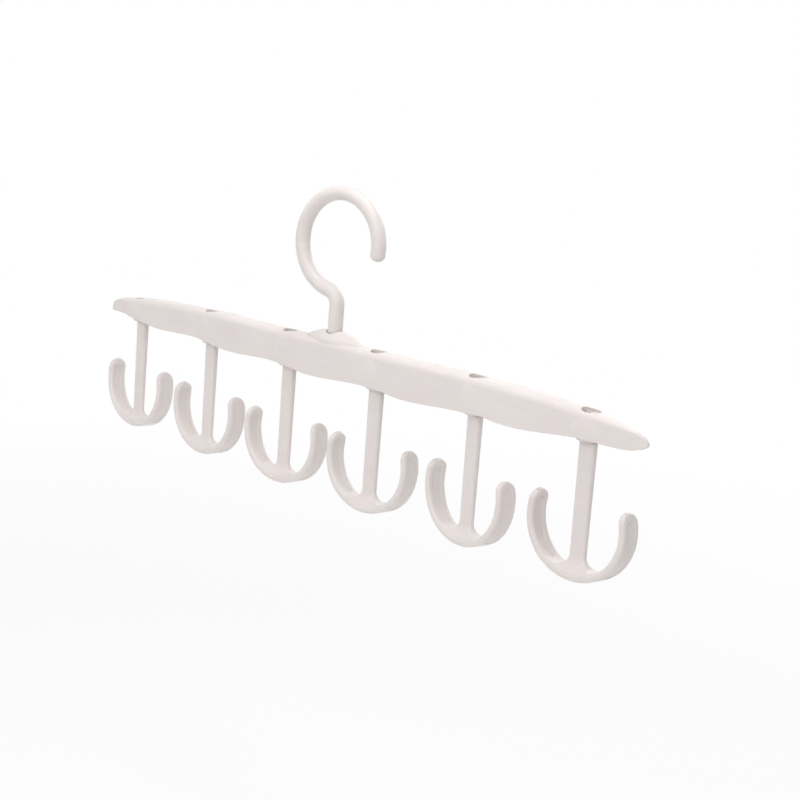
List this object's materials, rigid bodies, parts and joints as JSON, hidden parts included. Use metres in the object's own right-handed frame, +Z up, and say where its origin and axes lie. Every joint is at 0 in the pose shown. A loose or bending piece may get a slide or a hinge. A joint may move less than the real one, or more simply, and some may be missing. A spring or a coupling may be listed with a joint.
{
  "type": "tie hanger",
  "caption": "Straight tie hanger: a slim bar under a swivelling closet-rod loop, with anchor-shaped tie hooks that turn in bosses along its lower edge.",
  "frame": {"origin": "on the top hook's swivel axis, at the height where a closet rod bears in its loop", "axes": "+X along the bar, -Y the front, +Z up along the swivel axis"},
  "size_m": [0.3796, 0.0157, 0.1408],
  "materials": {
    "bar": "white moulded plastic with a soft satin gloss",
    "top_hook": "white moulded plastic with a soft satin gloss",
    "tie_hooks": "white moulded plastic with a soft satin gloss"
  },
  "bodies": {
    "top_hook": {"top_hook": "top_hook"},
    "hanger_bar": {"hanger_bar": "bar"},
    "tie_hook_1": {"tie_hook_1": "tie_hooks"},
    "tie_hook_2": {"tie_hook_2": "tie_hooks"},
    "tie_hook_3": {"tie_hook_3": "tie_hooks"},
    "tie_hook_4": {"tie_hook_4": "tie_hooks"},
    "tie_hook_5": {"tie_hook_5": "tie_hooks"},
    "tie_hook_6": {"tie_hook_6": "tie_hooks"}
  },
  "joints": [
    {"name": "bar_swivel", "type": "hinge", "parent": "top_hook", "child": "hanger_bar", "pos_m": [0, 0, -0.0578], "axis": [0, 0, 1], "continuous": true},
    {"name": "tie_hook_1_swivel", "type": "hinge", "parent": "hanger_bar", "child": "tie_hook_1", "pos_m": [-0.16, 0, -0.07698], "axis": [0, 0, 1], "continuous": true},
    {"name": "tie_hook_2_swivel", "type": "hinge", "parent": "hanger_bar", "child": "tie_hook_2", "pos_m": [-0.096, 0, -0.07862], "axis": [0, 0, 1], "continuous": true},
    {"name": "tie_hook_3_swivel", "type": "hinge", "parent": "hanger_bar", "child": "tie_hook_3", "pos_m": [-0.032, 0, -0.0793], "axis": [0, 0, 1], "continuous": true},
    {"name": "tie_hook_4_swivel", "type": "hinge", "parent": "hanger_bar", "child": "tie_hook_4", "pos_m": [0.032, 0, -0.0793], "axis": [0, 0, 1], "continuous": true},
    {"name": "tie_hook_5_swivel", "type": "hinge", "parent": "hanger_bar", "child": "tie_hook_5", "pos_m": [0.096, 0, -0.07862], "axis": [0, 0, 1], "continuous": true},
    {"name": "tie_hook_6_swivel", "type": "hinge", "parent": "hanger_bar", "child": "tie_hook_6", "pos_m": [0.16, 0, -0.07698], "axis": [0, 0, 1], "continuous": true}
  ]
}
